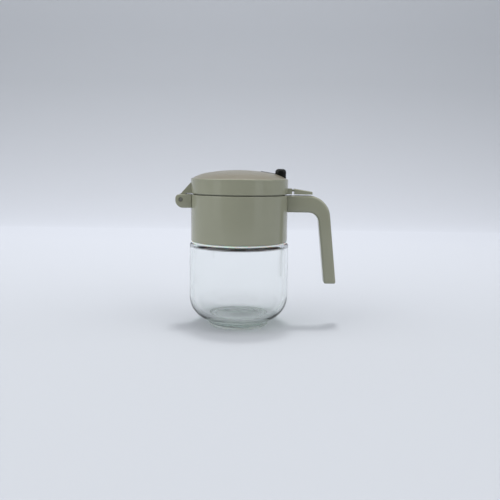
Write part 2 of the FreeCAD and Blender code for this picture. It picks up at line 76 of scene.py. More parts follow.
# Steps along a small rounding, a large one and round a bar; radius past which one is large.
SMALL_STEPS = 6
BIG_STEPS = 28
BAR_STEPS = 48
BIG_RADIUS = 4 * MM

MERGE = 1e-6
HOLD = 0.15 * MM
SHARP = math.radians(34)
QUARTER = math.pi / 2

# A Mix node's sockets for its two numbers, its two colours and its colour result.
NUMBER_A, NUMBER_B = 2, 3
COLOUR_A, COLOUR_B = 6, 7
COLOUR_RESULT = 2

# Gloss and grain of the moulded plastics.
GREY_ROUGHNESS, DOME_ROUGHNESS, BLACK_ROUGHNESS = 0.13, 0.3, 0.25
GRAIN_MM = 0.7


def length(name, description, size):
    """A length that a user would change, given in millimetres."""
    return bpy.props.FloatProperty(name=name, description=description, default=size * MM,
                                   min=0.0, subtype="DISTANCE", unit="LENGTH")


def linear(code):
    """Linear colour, with alpha, of an sRGB hex value such as 8A8B7D."""
    parts = [int(code[place:place + 2], 16) / 255 for place in (0, 2, 4)]
    return tuple(part / 12.92 if part <= 0.04045 else ((part + 0.055) / 1.055) ** 2.4
                 for part in parts) + (1.0,)


def colour(name, description, code):
    """A colour that a user would change, given as sRGB hex."""
    return bpy.props.FloatVectorProperty(name=name, description=description, size=4,
                                         default=linear(code), min=0.0, max=1.0, subtype="COLOR")


class GlassSizes(bpy.types.PropertyGroup):
    """Sizes of the glass jar."""
    wall: length("Wall", "Thickness of the glass wall", 3.0)
    heel: length("Heel", "Outside radius between wall and underside", 19.4)
    heel_inside: length("Inner heel", "Inside radius between wall and floor", 16.0)
    floor: length("Floor", "Height of the middle of the inside floor", 5.4)
    floor_round: length("Floor hollow", "Radius of the hollow inside floor", 110.0)
    foot_inset: length("Foot inset", "Foot's side in from the glass wall", 15.85)
    foot_height: length("Foot height", "Height of the foot below the heel", 3.8)
    foot_round: length("Foot rounding", "Rounding of the foot's lower edge", 1.3)
    foot_blend: length("Foot blend", "Hollow blend between foot and heel", 1.5)
    straight: length("Straight", "Height at which the straight wall ends", 64.6)
    shoulder: length("Shoulder", "Outside radius of the shoulder", 2.4)
    shoulder_glass: length("Shoulder glass", "Thickness of the glass at the shoulder", 2.2)
    shoulder_inside: length("Inner shoulder", "Inside radius under the shoulder", 1.0)
    neck_inset: length("Neck inset", "Neck's side in from the glass wall", 6.0)
    neck_wall: length("Neck wall", "Thickness of the neck", 3.2)
    lip: length("Lip", "Rounding of the lip's edges", 0.9)
    push: length("Underside hollow", "Depth of the hollow in the foot's underside", 1.1)
    push_ring: length("Foot ring", "Width of the foot's ring round that hollow", 3.2)
    ripple: length("Ripple", "Height of the unevenness of the inside floor", 0.5)


class CollarSizes(bpy.types.PropertyGroup):
    """Sizes of the collar, the ears and the handle."""
    inset: length("Inset", "Step in from the glass wall to the collar", 1.15)
    seal: length("Seal", "Thickness of the seal between shoulder and collar", 1.4)
    seal_inset: length("Seal inset", "Seal's edge in from the collar's side", 0.35)
    seal_edge: length("Seal edge", "Rounding of the seal's outer edges", 0.5)
    wall: length("Wall", "Thickness of the collar above its ledge", 2.4)
    foot_round: length("Lower rounding", "Rounding of the collar's lower edge", 0.8)
    rim_round: length("Upper rounding", "Rounding of the collar's upper edge", 0.6)
    clearance: length("Clearance", "Gap round the neck", 0.25)
    ledge: length("Ledge", "Thickness of the ledge that sits on the lip", 2.4)
    ledge_reach: length("Ledge reach", "How far the ledge reaches in past the lip", 0.9)
    ear_top: length("Ear top", "Radius of the ears' upper corner", 3.0)
    ear_low: length("Ear underside", "Radius of the ears' lower corner", 6.0)
    ear_height: length("Ear height", "Height of the ears", 10.6)
    ear_thick: length("Ear thickness", "Thickness of each ear", 4.0)
    ear_edge: length("Ear edge", "Rounding of the ears' outer edges", 0.7)
    slot: length("Slot", "Gap between the ears", 13.0)
    web: length("Web", "Web that joins the ears underneath", 2.4)
    slot_back: length("Slot back", "Material left between slot and collar", 0.4)
    recess: length("Recess", "Width of the recess round the pin's end", 0.5)
    recess_deep: length("Recess depth", "Depth of that recess", 0.9)
    handle_width: length("Handle width", "Width of the handle along Y", 12.0)
    handle_depth: length("Arm depth", "Depth of the handle's upper arm", 13.55)
    grip_lean: length("Lean", "How far the grip leans out over the handle's height", 7.9)
    grip: length("Grip", "Thickness of the grip", 9.7)
    outer_round: length("Outer corner", "Radius of the handle's outer corner", 18.0)
    inner_round: length("Inner corner", "Radius of the handle's inner corner", 8.5)
    grip_end: length("Grip end", "Rounding of the grip's end", 1.6)
    handle_edge: length("Handle edge", "Rounding along the handle's sides", 2.0)


class LidSizes(bpy.types.PropertyGroup):
    """Sizes of the lid, its arm, its thumb tab, the pin and the knob."""
    gap: length("Gap", "Height of the shadow gap under the lid", 0.9)
    gap_depth: length("Gap depth", "Depth of the shadow gap", 1.6)
    seat: length("Seat", "Gap between the lid's seat and the collar", 0.3)
    height: length("Height", "Height of the lid's side", 11.9)
    wall: length("Wall", "Thickness of the lid's side", 2.2)
    edge: length("Edge", "Rounding of the lid's upper edge", 0.6)
    low_edge: length("Lower edge", "Rounding of the lid's lower edge", 0.5)
    rim: length("Rim", "Width of the rim round the dome", 0.95)
    rim_step: length("Rim step", "Step down from the rim to the dome", 0.25)
    crown_drop: length("Crown drop", "Fall of the dome over its flatter middle", 2.33)
    crown_margin: length("Crown margin", "Width of the steeper ring round that middle", 11.9)
    dome: length("Dome", "Thickness of the dome", 2.2)
    plug_play: length("Plug play", "Gap between the collar and the lid's plug", 1.25)
    plug_wall: length("Plug wall", "Thickness of the plug", 2.0)
    plug_deep: length("Plug depth", "Reach of the plug below the top of the collar", 3.1)
    channel_roof: length("Channel roof", "Thickness above the channel round the plug", 2.6)
    barrel: length("Barrel", "Radius of the arm's barrel round the pin", 3.3)
    arm_top: length("Arm top", "Where the arm meets the lid's side", 8.25)
    arm_play: length("Arm play", "Gap on each side between arm and ears", 0.3)
    tab_width: length("Tab width", "Width of the thumb tab along Y", 11.0)
    tab_block: length("Tab block", "Length of the block next to the lid", 2.95)
    tab_gap: length("Tab gap", "Length of the gap after the block", 1.9)
    block_height: length("Block height", "Height of that block", 4.5)
    wedge_height: length("Wedge height", "Height of the wedge's near end", 4.4)
    tab_tip: length("Tab tip", "Height of the wedge's tip", 2.1)
    wedge_edge: length("Wedge edge", "Rounding of the wedge's upper edges", 0.6)
    bridge_low: length("Bridge height", "Underside of the bridge above the tab's", 2.2)
    bridge: length("Bridge", "Thickness of the bridge", 1.5)
    bridge_width: length("Bridge width", "Width of the bridge along Y", 7.0)
    pin_dome: length("Pin ends", "Rounding of the pin's ends", 0.6)
    knob_length: length("Knob length", "Length of the knob along X", 8.6)
    knob_corner: length("Knob corners", "Radius of the knob's upright corners", 3.0)
    knob_round: length("Knob crown", "Rounding of the knob's top", 2.7)
    tongue_width: length("Tongue width", "Width of the knob's tongue", 5.0)
    tongue: length("Tongue", "Thickness of the tongue", 0.3)


class Finishes(bpy.types.PropertyGroup):
    """Colours of the jar and the studio."""
    glass: colour("Glass", "Tint of the glass", "FEFEFE")
    green: colour("Green", "Colour that thick glass takes on", "D3F9E4")
    plastic: colour("Plastic", "Warm grey of the collar and the lid", "8E8F7C")
    # Painted sheen: the dome's colour is a warmer copy of the plastic's, for the light that its top
    # catches.
    dome: colour("Dome", "Warmer grey of the dome's inset face", "7B7668")
    # Partly painted highlight: the seal is a real pale ring, made near white so that it also stands
    # for the bright line of light under the collar.
    seal: colour("Seal", "Pale grey of the seal ring", "F2F4EE")
    knob: colour("Knob", "Black of the knob", "0E100C")
    steel: colour("Steel", "Grey of the hinge pin", "8C8B84")
    floor: colour("Floor", "Pale blue grey of the floor", "B8BBC0")
    # Painted light and painted shade on the sweep: the backdrop is palest low behind the jar and
    # darker towards its top, where the studio light falls off.
    painted_light: colour("Backdrop", "Palest part of the backdrop, low behind the jar", "D2D5DC")
    shade: colour("Backdrop top", "Darker upper part of the backdrop", "A9ACB1")


# Outlines

def arc(centre, radius, start, finish, steps):
    """Points on an arc, from one angle to the other in radians."""
    angles = [start + (finish - start) * step / steps for step in range(steps + 1)]
    return [Vector((centre[0] + radius * math.cos(angle), centre[1] + radius * math.sin(angle)))
            for angle in angles]


def rounded(corners, closed=True, inset=0.0):
    """Outline through (across, up, radius) corners, each rounded, moved inwards by inset.

    The number of points doesn't depend on the inset, so two insets can be joined.
    """
    spots = [Vector(corner[:2]) for corner in corners]
    count = len(spots)
    outline = []
    for place, (spot, corner) in enumerate(zip(spots, corners)):
        radius = corner[2] if len(corner) > 2 else 0.0
        if not closed and place in (0, count - 1):
            outline.append(spot)
            continue
        before = (spot - spots[place - 1]).normalized()
        after = (spots[(place + 1) % count] - spot).normalized()
        turn = before.x * after.y - before.y * after.x
        normal_before = Vector((-before.y, before.x))
        normal_after = Vector((-after.y, after.x))
        moved = spot + (normal_before + normal_after) * (
            inset / (1 + normal_before.dot(normal_after)))
        if radius == 0.0:
            outline.append(moved)
            continue
        radius = max(radius - math.copysign(inset, turn), 0.0)
        half = math.acos(max(-1.0, min(1.0, before.dot(after)))) / 2
        reach = radius * math.tan(half)
        start = moved - before * reach
        centre = start + normal_before * math.copysign(radius, turn)
        steps = BIG_STEPS if corner[2] > BIG_RADIUS else SMALL_STEPS
        first = start - centre
        for step in range(steps + 1):
            angle = math.copysign(2 * half * step / steps, turn)
            outline.append(centre + Vector((
                first.x * math.cos(angle) - first.y * math.sin(angle),
                first.x * math.sin(angle) + first.y * math.cos(angle))))
    return outline


def held(outline, closed=False):
    """The outline with a point just inside each end of its long runs, which keeps them flat."""
    points = []
    ends = outline[1:] + (outline[:1] if closed else [])
    for start, finish in zip(outline, ends):
        points.append(start)
        run = finish - start
        if run.length > 8 * HOLD:
            step = run.normalized() * HOLD
            points += [start + step, finish - step]
    if not closed:
        points.append(outline[-1])
    return points


# Meshes

def finish_mesh(mesh):
    """Join doubled points, point the faces outwards and smooth all but sharp edges."""
    shape = bmesh.new()
    shape.from_mesh(mesh)
    bmesh.ops.remove_doubles(shape, verts=shape.verts, dist=MERGE)
    bmesh.ops.dissolve_degenerate(shape, edges=shape.edges, dist=MERGE / 10)
    bmesh.ops.recalc_face_normals(shape, faces=shape.faces)
    shape.to_mesh(mesh)
    shape.free()
    mesh.shade_smooth()
    mesh.set_sharp_from_angle(angle=SHARP)


def new_object(name, points, faces):
    """Object at the origin with a mesh of these points and faces."""
    mesh = bpy.data.meshes.new(name)
    mesh.from_pydata(points, [], faces)
    made = bpy.data.objects.new(name, mesh)
    bpy.context.scene.collection.objects.link(made)
    return made


def skin(name, rings, capped=True):
    """Object whose skin joins one closed ring of points to the next."""
    count = len(rings[0])
    points = [point for ring in rings for point in ring]
    faces = []
    for ring in range(len(rings) - 1):
        for place in range(count):
            following = (place + 1) % count
            faces.append((ring * count + place, ring * count + following,
                          (ring + 1) * count + following, (ring + 1) * count + place))
    if capped:
        faces.append(tuple(range(count)))
        faces.append(tuple(range(len(points) - count, len(points))))
    made = new_object(name, points, faces)
    finish_mesh(made.data)
    return made


def slab(name, corners, width, edge):
    """Outline in the XZ plane, given thickness along Y with its two side edges rounded."""
    layers = []
    for side in (-1, 1):
        for step in range(SMALL_STEPS + 1):
            angle = QUARTER * (SMALL_STEPS - step if side < 0 else step) / SMALL_STEPS
            layers.append((side * (width / 2 - edge + edge * math.sin(angle)),
                           edge * (1 - math.cos(angle))))
    rings = []
    for depth, inset in layers:
        outline = rounded(corners, True, inset)
        if edge == 0:
            outline = held(outline, True)
        rings.append([Vector((point.x, depth, point.y)) for point in outline])
    return skin(name, rings)


def evaluated_copy(source, name):
    """Plain object made from what the source's modifiers give, and the source removed."""
    bpy.context.view_layer.update()
    depsgraph = bpy.context.evaluated_depsgraph_get()
    mesh = bpy.data.meshes.new_from_object(source.evaluated_get(depsgraph), depsgraph=depsgraph)
    mesh.name = name
    bpy.data.objects.remove(source)
    made = bpy.data.objects.new(name, mesh)
    bpy.context.scene.collection.objects.link(made)
    return made


def cut(target, cutters):
    """The target less each cutter, and the cutters removed."""
    for cutter in cutters:
        step = target.modifiers.new("cut", "BOOLEAN")
        step.operation = "DIFFERENCE"
        step.solver = "EXACT"
        step.object = cutter
    made = evaluated_copy(target, target.name + "_cut")
    for cutter in cutters:
        bpy.data.objects.remove(cutter)
    finish_mesh(made.data)
    return made


def rod(name, centre, radius, start, finish):
    """Round bar along Y through centre, from start to finish."""
    rings = []
    for depth in (start, finish):
        circle = arc((centre.x, centre.z), radius, 0, math.tau, BAR_STEPS)[:-1]
        rings.append([Vector((point.x, depth, point.y)) for point in circle])
    return skin(name, rings)


def join(name, parts):
    """One object from several, in one mesh with one material slot to fill."""
    shape = bmesh.new()
    for part in parts:
        shape.from_mesh(part.data)
    for face in shape.faces:
        face.material_index = 0
    mesh = bpy.data.meshes.new(name)
    shape.to_mesh(mesh)
    shape.free()
    for part in parts:
        bpy.data.objects.remove(part)
    made = bpy.data.objects.new(name, mesh)
    bpy.context.scene.collection.objects.link(made)
    mesh.shade_smooth()
    mesh.set_sharp_from_angle(angle=SHARP)
    return made


# Nodes

def add(tree, kind, sockets=None, **settings):
    """Add a node with its settings, each socket linked to another or set to a value."""
    made = tree.nodes.new(kind)
    for name, value in settings.items():
        setattr(made, name, value)
    for name, value in (sockets or {}).items():
        if isinstance(value, bpy.types.NodeSocket):
            tree.links.new(value, made.inputs[name])
        else:
            made.inputs[name].default_value = value
    return made


def lathe_tree():
    """Geometry Nodes tree that turns a profile, across and up in X and Z, about the Z axis."""
    known = bpy.data.node_groups.get("Lathe")
    if known:
        return known
    tree = bpy.data.node_groups.new("Lathe", "GeometryNodeTree")
    for name, kind in (("Profile", "Geometry"), ("Segments", "Int"), ("Material", "Material")):
        tree.interface.new_socket(name, in_out="INPUT", socket_type="NodeSocket" + kind)
    tree.interface.new_socket("Turned", in_out="OUTPUT", socket_type="NodeSocketGeometry")
    start = add(tree, "NodeGroupInput")
    profile, segments, material = start.outputs[:3]
    rows = add(tree, "GeometryNodeAttributeDomainSize", {"Geometry": profile})
    columns = add(tree, "ShaderNodeMath", {0: segments, 1: 1.0}, operation="ADD").outputs[0]
    grid = add(tree, "GeometryNodeMeshGrid", {
        "Vertices X": rows.outputs["Point Count"], "Vertices Y": columns})
    index = add(tree, "GeometryNodeInputIndex").outputs[0]
    middle = add(tree, "ShaderNodeMath", {0: index, 1: 0.5}, operation="ADD").outputs[0]
    share = add(tree, "ShaderNodeMath", {0: middle, 1: columns}, operation="DIVIDE").outputs[0]
    row = add(tree, "ShaderNodeMath", {0: share}, operation="FLOOR").outputs[0]
    passed = add(tree, "ShaderNodeMath", {0: row, 1: columns}, operation="MULTIPLY").outputs[0]
    column = add(tree, "ShaderNodeMath", {0: index, 1: passed}, operation="SUBTRACT").outputs[0]
    step = add(tree, "ShaderNodeMath", {0: math.tau, 1: segments}, operation="DIVIDE").outputs[0]
    angle = add(tree, "ShaderNodeMath", {0: column, 1: step}, operation="MULTIPLY").outputs[0]
    place = add(tree, "GeometryNodeInputPosition").outputs[0]
    found = add(tree, "GeometryNodeSampleIndex", {
        "Geometry": profile, "Value": place, "Index": row}, data_type="FLOAT_VECTOR")
    spot = add(tree, "ShaderNodeSeparateXYZ", {0: found.outputs[0]})
    cosine = add(tree, "ShaderNodeMath", {0: angle}, operation="COSINE").outputs[0]
    sine = add(tree, "ShaderNodeMath", {0: angle}, operation="SINE").outputs[0]
    x = add(tree, "ShaderNodeMath", {0: spot.outputs["X"], 1: cosine}, operation="MULTIPLY")
    y = add(tree, "ShaderNodeMath", {0: spot.outputs["X"], 1: sine}, operation="MULTIPLY")
    turned = add(tree, "ShaderNodeCombineXYZ", {
        "X": x.outputs[0], "Y": y.outputs[0], "Z": spot.outputs["Z"]})
    moved = add(tree, "GeometryNodeSetPosition", {
        "Geometry": grid.outputs["Mesh"], "Position": turned.outputs[0]})
    merged = add(tree, "GeometryNodeMergeByDistance", {
        "Geometry": moved.outputs[0], "Distance": MERGE})
    whole = add(tree, "GeometryNodeRealizeInstances", {"Geometry": merged.outputs[0]})
    dressed = add(tree, "GeometryNodeSetMaterial", {
        "Geometry": whole.outputs[0], "Material": material})
    add(tree, "NodeGroupOutput", {"Turned": dressed.outputs[0]})
    return tree


def lathe(name, outline, material, segments=192):
    """Turned object: the outline's points, across and up, swept once round the Z axis."""
    source = new_object(name + "_profile",
                        [Vector((point.x, 0, point.y)) for point in outline], [])
    source.data.materials.append(material)
    turn = source.modifiers.new("Lathe", "NODES")
    turn.node_group = lathe_tree()
    names = {item.name: item.identifier for item in turn.node_group.interface.items_tree}
    turn[names["Segments"]] = segments
    turn[names["Material"]] = material
    made = evaluated_copy(source, name)
    finish_mesh(made.data)
    return made


def new_material(name):
    """Empty node material, with its tree, its surface socket and its object coordinates."""
    material = bpy.data.materials.new(name)
    material.use_nodes = True
    tree = material.node_tree
    tree.nodes.clear()
    output = add(tree, "ShaderNodeOutputMaterial")
    coordinates = add(tree, "ShaderNodeTexCoord").outputs["Object"]
    return material, tree, output.inputs["Surface"], coordinates


def moulded_plastic(name, code, roughness, shine=0.5):
    """Injection-moulded ABS: an even colour, a soft gloss and a faint orange-peel skin."""
    material, tree, surface, coordinates = new_material(name)
    flow = add(tree, "ShaderNodeTexNoise", {
        "Vector": coordinates, "Scale": 1 / (18 * MM), "Detail": 2.0})
    darker = [part * 0.96 for part in code[:3]] + [1.0]
    lighter = [min(part * 1.04, 1.0) for part in code[:3]] + [1.0]
    tint = add(tree, "ShaderNodeMix", {
        "Factor": flow.outputs["Fac"], COLOUR_A: darker, COLOUR_B: lighter}, data_type="RGBA")
    peel = add(tree, "ShaderNodeTexNoise", {
        "Vector": coordinates, "Scale": 1 / (GRAIN_MM * MM), "Detail": 3.0})
    spread = add(tree, "ShaderNodeMapRange", {
        "Value": peel.outputs["Fac"], "To Min": roughness * 0.9, "To Max": roughness * 1.1})
    bump = add(tree, "ShaderNodeBump", {
        "Height": peel.outputs["Fac"], "Strength": 0.12, "Distance": 0.01 * MM})
    shader = add(tree, "ShaderNodeBsdfPrincipled", {
        "Base Color": tint.outputs[COLOUR_RESULT], "Roughness": spread.outputs[0], "IOR": 1.52,
        "Specular IOR Level": shine, "Normal": bump.outputs[0]})
    tree.links.new(shader.outputs[0], surface)
    return material


def blown_glass(code, green):
    """Soda-lime jar glass, blown and fire-polished: clear, faintly wavy, green where thick.

    Its foot is stippled, and grows duller towards the edge that it stands on.
    """
    wave, wave_deep = 16 * MM, 0.15 * MM
    stipple_top, stipple_low, dullest = 3.4 * MM, 0.6 * MM, 0.5
    material, tree, surface, coordinates = new_material("soda_lime_glass_blown")
    waves = add(tree, "ShaderNodeTexNoise", {
        "Vector": coordinates, "Scale": 1 / wave, "Detail": 1.0})
    bump = add(tree, "ShaderNodeBump", {
        "Height": waves.outputs["Fac"], "Strength": 0.4, "Distance": wave_deep})
    height = add(tree, "ShaderNodeSeparateXYZ", {0: coordinates})
    stipple = add(tree, "ShaderNodeMapRange", {
        "Value": height.outputs["Z"], "From Min": stipple_top, "From Max": stipple_low,
        "To Max": dullest})
    glass = add(tree, "ShaderNodeBsdfPrincipled", {
        "Base Color": code, "Roughness": stipple.outputs[0], "IOR": 1.5, "Transmission Weight": 1.0,
        "Normal": bump.outputs[0]})
    through = add(tree, "ShaderNodeBsdfTransparent", {"Color": (0.97, 0.98, 0.97, 1.0)})
    path = add(tree, "ShaderNodeLightPath")
    mix = add(tree, "ShaderNodeMixShader", {
        0: path.outputs["Is Shadow Ray"], 1: glass.outputs[0], 2: through.outputs[0]})
    tree.links.new(mix.outputs[0], surface)
    depth = add(tree, "ShaderNodeVolumeAbsorption", {"Color": green, "Density": 10.0})
    tree.links.new(depth.outputs[0], surface.node.inputs["Volume"])
    return material


def silicone(name, code):
    """Moulded silicone: pale and soft, with a little light passing through its skin."""
    material, tree, surface, coordinates = new_material(name)
    skin_grain = add(tree, "ShaderNodeTexNoise", {
        "Vector": coordinates, "Scale": 1 / (1.2 * MM), "Detail": 2.0})
    spread = add(tree, "ShaderNodeMapRange", {
        "Value": skin_grain.outputs["Fac"], "To Min": 0.3, "To Max": 0.4})
    shader = add(tree, "ShaderNodeBsdfPrincipled", {
        "Base Color": code, "Roughness": spread.outputs[0], "IOR": 1.42,
        "Subsurface Weight": 0.6, "Subsurface Scale": 1.5 * MM})
    tree.links.new(shader.outputs[0], surface)
    return material


def drawn_steel(code):
    """Drawn stainless rod: bright metal with fine lines along its length."""
    material, tree, surface, coordinates = new_material("stainless_steel_drawn")
    along = add(tree, "ShaderNodeMapping", {"Vector": coordinates, "Scale": (1.0, 0.05, 1.0)})
    lines = add(tree, "ShaderNodeTexNoise", {
        "Vector": along.outputs[0], "Scale": 1 / (0.2 * MM), "Detail": 2.0})
    spread = add(tree, "ShaderNodeMapRange", {
        "Value": lines.outputs["Fac"], "To Min": 0.3, "To Max": 0.5})
    shader = add(tree, "ShaderNodeBsdfPrincipled", {
        "Base Color": code, "Metallic": 1.0, "Roughness": spread.outputs[0]})
    tree.links.new(shader.outputs[0], surface)
    return material


def material_of(name, maker, *settings):
    """The material of this name, made once."""
    return bpy.data.materials.get(name) or maker(*settings)


def grey_plastic(context):
    """Warm grey plastic of the collar, the handle and the lid."""
    name = "abs_grey_moulded"
    return material_of(name, moulded_plastic, name, list(context.scene.jar_finishes.plastic),
                       GREY_ROUGHNESS)


def set_piece(made, body, node):
    """Let the piece ride on its body and stand for its node, whose imported part is hidden."""
    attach(made, body)
    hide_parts(node)


class JAR_OT_glass(bpy.types.Operator):
    """Blown glass jar with a foot, a round heel, a shoulder and a neck"""
    bl_idname = "jar.glass"
    bl_label = "Glass jar"

    def execute(self, context):
        sizes = context.scene.jar_glass
        top = JAR_HIGH.z
        foot = JAR_RADIUS - sizes.foot_inset
        heel_centre = Vector((JAR_RADIUS - sizes.heel, sizes.foot_height + sizes.heel))
        blend_x = foot + sizes.foot_blend
        reach = sizes.heel + sizes.foot_blend
        blend_z = heel_centre.y - math.sqrt(reach ** 2 - (blend_x - heel_centre.x) ** 2)
        low = math.atan2(blend_z - heel_centre.y, blend_x - heel_centre.x)
        inner = JAR_RADIUS - sizes.wall
        neck = JAR_RADIUS - sizes.neck_inset
        bore = neck - sizes.neck_wall
        shoulder = sizes.straight + sizes.shoulder
        under = shoulder - sizes.shoulder_glass
        inner_centre_r = inner - sizes.heel_inside
        reach_inside = sizes.floor_round - sizes.heel_inside
        lean = math.asin(inner_centre_r / reach_inside)
        floor_centre = (0, sizes.floor + sizes.floor_round)
        inner_centre = (inner_centre_r, floor_centre[1] - reach_inside * math.cos(lean))
        ring = foot - sizes.push_ring
        outline = rounded(((0, sizes.push), (ring - sizes.push, sizes.push, sizes.push),
                           (ring, 0, sizes.push / 2), (foot, 0)), False)[:-1]
        outline += arc((foot - sizes.foot_round, sizes.foot_round), sizes.foot_round,
                       -QUARTER, 0, SMALL_STEPS)
        outline += arc((blend_x, blend_z), sizes.foot_blend, math.pi, low + math.pi,
                       SMALL_STEPS)
        outline += arc(heel_centre, sizes.heel, low, 0, 2 * BIG_STEPS)
        outline += rounded((
            (JAR_RADIUS, heel_centre.y), (JAR_RADIUS, shoulder, sizes.shoulder),
            (neck, shoulder), (neck, top, sizes.lip), (bore, top, sizes.lip), (bore, under),
            (inner, under, sizes.shoulder_inside), (inner, inner_centre[1])), False)[1:]
        outline += arc(inner_centre, sizes.heel_inside, 0, lean - QUARTER, 2 * BIG_STEPS)[1:]
        outline += arc(floor_centre, sizes.floor_round, lean - QUARTER, -QUARTER,
                       2 * BIG_STEPS)[1:]
        finishes = context.scene.jar_finishes
        glass = material_of("soda_lime_glass_blown", blown_glass, list(finishes.glass),
                            list(finishes.green))
        segments = 256
        made = lathe("jar_glass_body", held(outline), glass, segments)
        self.ripple(made.data, sizes, inner_centre[1])
        set_piece(made, "jar", "glass_jar")
        return {"FINISHED"}

    def ripple(self, mesh, sizes, top):
        """Slow unevenness of the inside floor, as moulded glass has, fading out up the wall.

        Two crossed waves make swells, and a longer and weaker one tilts them.
        """
        inner = JAR_RADIUS - sizes.wall
        for vertex in mesh.vertices:
            across = math.hypot(vertex.co.x, vertex.co.y)
            inside = vertex.co.z > sizes.floor * 0.9 + across ** 2 / (2 * sizes.floor_round)
            if vertex.co.z < top and across < inner + MERGE and inside:
                fade = (1 - vertex.co.z / top) * math.cos(across / inner * math.pi / 2)
                swell = math.sin(vertex.co.x / 6.1 / MM + 0.7) * math.sin(
                    vertex.co.y / 8.3 / MM + 0.4)
                tilt = 0.6 * math.sin(vertex.co.x / 11 / MM + 2.1)
                vertex.co.z += sizes.ripple * fade * (swell + tilt)
        mesh.update()


class JAR_OT_seal(bpy.types.Operator):
    """Pale silicone ring between the jar's shoulder and the collar, made near white so that it also
    paints the highlight line under the collar
    """
    bl_idname = "jar.seal"
    bl_label = "Seal ring"

    def execute(self, context):
        sizes = context.scene.jar_collar
        glass = context.scene.jar_glass
        outer = JAR_RADIUS - sizes.inset - sizes.seal_inset
        inner = JAR_RADIUS - glass.neck_inset + sizes.clearance
        low = glass.straight + glass.shoulder
        high = low + sizes.seal
        profile = rounded(((inner, low), (outer, low, sizes.seal_edge),
                           (outer, high, sizes.seal_edge), (inner, high)))
        # Partly painted highlight: a real pale ring, whose near-white tone also stands for the line
        # of light under the collar.
        name = "silicone_pale_moulded"
        pale = material_of(name, silicone, name, list(context.scene.jar_finishes.seal))
        made = lathe("seal_ring_silicone", profile + profile[:1], pale)
        set_piece(made, "jar", "seal_ring")
        return {"FINISHED"}


class JAR_OT_collar(bpy.types.Operator):
    """Grey collar on the jar's lip, with the hinge ears and the handle in one moulding"""
    bl_idname = "jar.collar"
    bl_label = "Collar, ears and handle"

    def execute(self, context):
        sizes = context.scene.jar_collar
        glass = context.scene.jar_glass
        plastic = grey_plastic(context)
        outer = JAR_RADIUS - sizes.inset
        inner = outer - sizes.wall
        neck = JAR_RADIUS - glass.neck_inset
        sleeve = neck + sizes.clearance
        mouth = neck - glass.neck_wall - sizes.ledge_reach
        low = glass.straight + glass.shoulder + sizes.seal
        lip = JAR_HIGH.z
        ledge = lip + sizes.ledge
        profile = rounded((
            (sleeve, low), (outer, low, sizes.foot_round), (outer, COLLAR_TOP, sizes.rim_round),
            (inner, COLLAR_TOP, sizes.rim_round), (inner, ledge), (mouth, ledge), (mouth, lip),
            (sleeve, lip)))
        profile = held(profile, True)
        ring = lathe("collar_ring", profile + profile[:1], plastic)
        parts = [ring, self.ears(sizes, outer), self.handle(sizes, outer)]
        made = join("collar_with_handle", parts)
        made.data.materials.append(plastic)
        set_piece(made, "jar", "collar")
        return {"FINISHED"}

    def ears(self, sizes, outer):
        """Two ears round the pin, joined by a web underneath."""
        root = -(outer - sizes.wall / 2)
        end = COLLAR_LOW.x
        low = COLLAR_TOP - sizes.ear_height
        width = sizes.slot + 2 * sizes.ear_thick
        block = slab("ears", (
            (root, COLLAR_TOP), (end, COLLAR_TOP, sizes.ear_top), (end, low, sizes.ear_low),
            (root, low)), width, sizes.ear_edge)
        past = 1 * MM
        play = 0.02 * MM
        slot = slab("slot", (
            (end - past, low + sizes.web), (-outer - sizes.slot_back, low + sizes.web),
            (-outer - sizes.slot_back, COLLAR_TOP + past), (end - past, COLLAR_TOP + past)),
            sizes.slot, 0.0)
        side = width / 2
        recess = PIN_RADIUS + sizes.recess
        near = rod("near", HINGE, recess, -side - past, -side + sizes.recess_deep)
        far = rod("far", HINGE, recess, side - sizes.recess_deep, side + past)
        bore = rod("bore", HINGE, PIN_RADIUS + play, -side - past, side + past)
        return cut(block, [slot, near, far, bore])

    def handle(self, sizes, outer):
        """Upper arm level with the collar's top, and a grip that leans outwards."""
        root = outer - sizes.wall / 2
        under = COLLAR_TOP - sizes.handle_depth
        end_z = COLLAR_LOW.z
        drop = COLLAR_TOP - end_z
        end_x = self.grip_end_x(sizes)
        corner = end_x - sizes.grip_lean
        crook = corner + sizes.grip_lean * sizes.handle_depth / drop - sizes.grip
        return slab("handle", (
            (root, under), (crook, under, sizes.inner_round),
            (end_x - sizes.grip, end_z, sizes.grip_end), (end_x, end_z, sizes.grip_end),
            (corner, COLLAR_TOP, sizes.outer_round), (root, COLLAR_TOP)),
            sizes.handle_width, sizes.handle_edge)

    def grip_end_x(self, sizes):
        """Sharp corner of the grip's end, worked out from where its rounded side reaches."""
        lean = math.atan2(sizes.grip_lean, COLLAR_TOP - COLLAR_LOW.z)
        overhang = (1 + math.sin(lean)) / math.cos(lean) - 1
        return COLLAR_HIGH.x + sizes.grip_end * overhang


